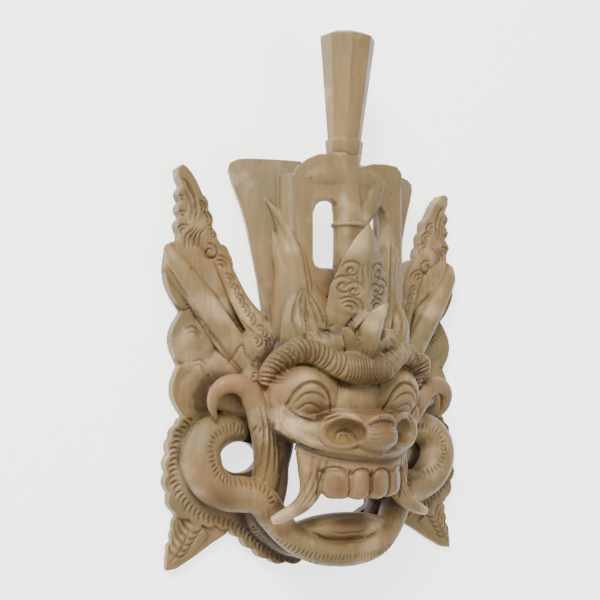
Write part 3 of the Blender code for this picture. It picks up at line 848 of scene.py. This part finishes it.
def mark_tones(carving):
    """Stores where the wood is paler, and where it is a warmer brown, which on the nose bulb is painted
    shadow.
    """
    places = surface_arrays(carving.data)[0]
    for name, spots in (("pale", PALE_SPOTS), ("warm_and_shaded", WARM_AND_SHADED_SPOTS)):
        tone = np.zeros(len(places))
        for x, y, z, reach in spots:
            away = np.linalg.norm(places - (x, y, z), axis=1) / reach
            np.maximum(tone, np.clip(SPOT_CORE - away, 0, 1), out=tone)
        store_values(carving, name, tone)


def mark_recesses(carving, relief):
    """Stores how deep each vertex lies under its surroundings, for the painted shade and stain in the wood's
    recesses.
    """
    places = surface_arrays(carving.data)[0]
    heights, row, column = height_map(places)
    near = blurred(heights, NEAR_WINDOW)[row, column] - places[:, 2]
    far = blurred(heights, FAR_WINDOW)[row, column] - places[:, 2]
    under = dilated(heights, UNDER_WINDOW)[row, column] - places[:, 2]
    cut = sample(relief, places[:, 0], places[:, 1])
    # Near and far hollows and what lies under overhangs get painted shade; the drawn cuts are darkened as
    # painted shade and stain in the grooves
    shade_and_stain = np.clip(near / NEAR_DEPTH, 0, 1) * NEAR_SHARE
    shade_and_stain += np.clip(far / FAR_DEPTH, 0, 1) * FAR_SHARE
    shade_and_stain += np.clip(cut / CUT_DEPTH, 0, 1) * CUT_SHARE
    shade_and_stain += np.clip((under - UNDER_START) / UNDER_DEPTH, 0, 1) * UNDER_SHARE
    store_values(carving, "shade_and_stain", np.clip(shade_and_stain, 0, 1))


def node(tree, kind, **values):
    """A node with its sockets or its own settings filled in."""
    made = tree.nodes.new(kind)
    for name, value in values.items():
        if name in made.inputs:
            made.inputs[name].default_value = value
        else:
            setattr(made, name, value)
    return made


def noise(tree, scale, detail=3.0, stretch=(1, 1, 1), shift=(0, 0, 0)):
    """A noise that stays with the wood, stretched and shifted."""
    mapping = node(tree, "ShaderNodeMapping", Scale=stretch, Location=shift)
    tree.links.new(tree.nodes["place"].outputs["Object"], mapping.inputs["Vector"])
    made = node(tree, "ShaderNodeTexNoise", Scale=scale, Detail=detail)
    tree.links.new(mapping.outputs["Vector"], made.inputs["Vector"])
    return made.outputs["Fac"]


def ramp(tree, value, low, high, start=0.0, end=1.0):
    """A value spread out so that it starts at low and ends at high."""
    made = node(tree, "ShaderNodeMapRange")
    limits = (("From Min", low), ("From Max", high), ("To Min", start), ("To Max", end))
    for name, limit in limits:
        made.inputs[name].default_value = limit
    tree.links.new(value, made.inputs["Value"])
    return made.outputs["Result"]


def socket(sockets, identifier):
    """The socket with this identifier."""
    return next(item for item in sockets if item.identifier == identifier)


def blend(tree, factor, first, second):
    """Two colours mixed by a factor; each of the three is a constant or an output."""
    made = node(tree, "ShaderNodeMix", data_type="RGBA")
    for identifier, value in (("Factor_Float", factor), ("A_Color", first), ("B_Color", second)):
        target = socket(made.inputs, identifier)
        if isinstance(value, (tuple, float)):
            target.default_value = value
        else:
            tree.links.new(value, target)
    return socket(made.outputs, "Result_Color")


def wood_colour(tree, grain):
    """Tan wood with patches and spots of other tones, painted shadow on the nose bulb, grain, specks, and
    recesses darkened by painted shade and stain.
    """
    colour = TAN
    for scale, shift, begin, full, tone in PATCHES:
        patch = noise(tree, scale, shift=shift)
        colour = blend(tree, ramp(tree, patch, begin, full), colour, tone)
    # The warm spots blend towards BROWN, on the nose bulb as painted shadow
    for name, tone in (("pale", PALE), ("warm_and_shaded", BROWN)):
        spots = node(tree, "ShaderNodeAttribute", attribute_name=name)
        colour = blend(tree, ramp(tree, spots.outputs["Fac"], 0.0, SPOT_FULL), colour, tone)
    grained = blend(tree, GRAIN_SHARE, colour, DARK)
    colour = blend(tree, ramp(tree, grain, 0.45, 0.75), colour, grained)
    speck = noise(tree, 170, detail=2.0, stretch=(1, 0.5, 1))
    colour = blend(tree, ramp(tree, speck, 0.73, 0.80), colour, DARK)
    # Painted shade and stain: the recesses are blended towards DARK
    shade_and_stain = node(tree, "ShaderNodeAttribute", attribute_name="shade_and_stain")
    shaded_and_stained = blend(tree, SHADE_AND_STAIN_SHARE, colour, DARK)
    return blend(tree, ramp(tree, shade_and_stain.outputs["Fac"], 0.08, 0.95), colour, shaded_and_stained)


def wood_bump(tree, grain):
    """The shallow marks of the knife with the grain on top."""
    marks = noise(tree, 75, detail=2.0, stretch=(1, 0.6, 1), shift=(6, 2, 1))
    strokes = node(tree, "ShaderNodeBump", Strength=0.5, Distance=0.0012)
    tree.links.new(marks, strokes.inputs["Height"])
    bump = node(tree, "ShaderNodeBump", Strength=0.35, Distance=0.0006)
    tree.links.new(grain, bump.inputs["Height"])
    tree.links.new(strokes.outputs["Normal"], bump.inputs["Normal"])
    return bump.outputs["Normal"]


def wood_material():
    """Pale carved wood with fine grain, patches of other tones, and recesses darkened by painted shade and
    stain.
    """
    wood = bpy.data.materials.new("carved_wood")
    wood.use_nodes = True
    tree = wood.node_tree
    node(tree, "ShaderNodeTexCoord").name = "place"
    shader = tree.nodes["Principled BSDF"]
    shader.inputs["Metallic"].default_value = 0.0
    shader.inputs["Specular IOR Level"].default_value = SPECULAR
    grain = noise(tree, 60, detail=6.0, stretch=(4, 0.35, 4))
    wear = noise(tree, 45, shift=(2, 2, 9))
    tree.links.new(wood_colour(tree, grain), shader.inputs["Base Color"])
    tree.links.new(ramp(tree, wear, 0.0, 1.0, SMOOTHEST, ROUGHEST), shader.inputs["Roughness"])
    tree.links.new(wood_bump(tree, grain), shader.inputs["Normal"])
    return wood


def make_mask():
    """Carves the mask, finishes it, and gives how far its eye line is from the middle."""
    carving = rough_block()
    hollow_out(carving)
    relief = drawn_relief()
    carve(carving, relief)
    thin_out(carving)
    mark_recesses(carving, relief)
    mark_tones(carving)
    rows = [vertex.co.y for vertex in carving.data.vertices]
    eye_line = (node_low[1] + node_high[1]) / 2 - (min(rows) + max(rows)) / 2
    carving.data.transform(Matrix.Translation((0, eye_line, 0)))
    keep_in_box(carving)
    carving.data.materials.clear()
    carving.data.materials.append(wood_material())
    carving.data.shade_smooth()
    carving.name = "carved_surface"
    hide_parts(NODE)
    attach(carving, "root")
    return eye_line


def make_floor():
    """A plain pale floor just under the mask."""
    bpy.ops.mesh.primitive_plane_add(size=FLOOR_SIZE, location=(0, 0, -FLOOR_DROP))
    floor = bpy.context.object
    floor.name = "floor"
    paper = bpy.data.materials.new("pale_floor")
    paper.use_nodes = True
    shader = paper.node_tree.nodes["Principled BSDF"]
    shader.inputs["Base Color"].default_value = FLOOR_COLOUR
    shader.inputs["Roughness"].default_value = FLOOR_ROUGHNESS
    shader.inputs["Emission Color"].default_value = WHITE
    shader.inputs["Emission Strength"].default_value = FLOOR_GLOW
    floor.data.materials.append(paper)


def make_light(name, place, energy, size, colour):
    """A square soft light that points at the mask."""
    lamp = bpy.data.lights.new(name, "AREA")
    lamp.energy = energy
    lamp.size = size
    lamp.color = colour
    light = bpy.data.objects.new(name, lamp)
    bpy.context.scene.collection.objects.link(light)
    light.location = place
    direction = Vector(LAMP_TARGET) - Vector(place)
    light.rotation_euler = direction.to_track_quat("-Z", "Y").to_euler()


def make_studio():
    """The floor, the lamps and the light from all around."""
    make_floor()
    for lamp in LAMPS:
        make_light(*lamp)
    world = bpy.data.worlds.new("studio")
    bpy.context.scene.world = world
    world.use_nodes = True
    backdrop = world.node_tree.nodes["Background"]
    backdrop.inputs["Color"].default_value = WHITE
    backdrop.inputs["Strength"].default_value = AIR_LIGHT


def make_camera(eye_line):
    """A camera half a metre to the left and over the mask, level with the eye line."""
    turn = math.radians(CAMERA_TURN)
    pitch = math.radians(CAMERA_PITCH)
    ahead = Vector((math.sin(turn), 0, -math.cos(turn)))
    right = Vector((math.cos(turn), 0, math.sin(turn)))
    upward = Vector((0, 1, 0))
    view = ahead * math.cos(pitch) + upward * math.sin(pitch)
    top = upward * math.cos(pitch) - ahead * math.sin(pitch)
    lens = bpy.data.cameras.new("camera")
    lens.lens = LENS
    lens.sensor_width = SENSOR
    camera = bpy.data.objects.new("camera", lens)
    bpy.context.scene.collection.objects.link(camera)
    frame_axes = Matrix((right, top, -view)).transposed()
    place = Matrix.Translation((CAMERA_ACROSS, eye_line, CAMERA_ABOVE))
    camera.matrix_world = place @ frame_axes.to_4x4()
    bpy.context.scene.camera = camera


eye_line = make_mask()
make_camera(eye_line)
make_studio()
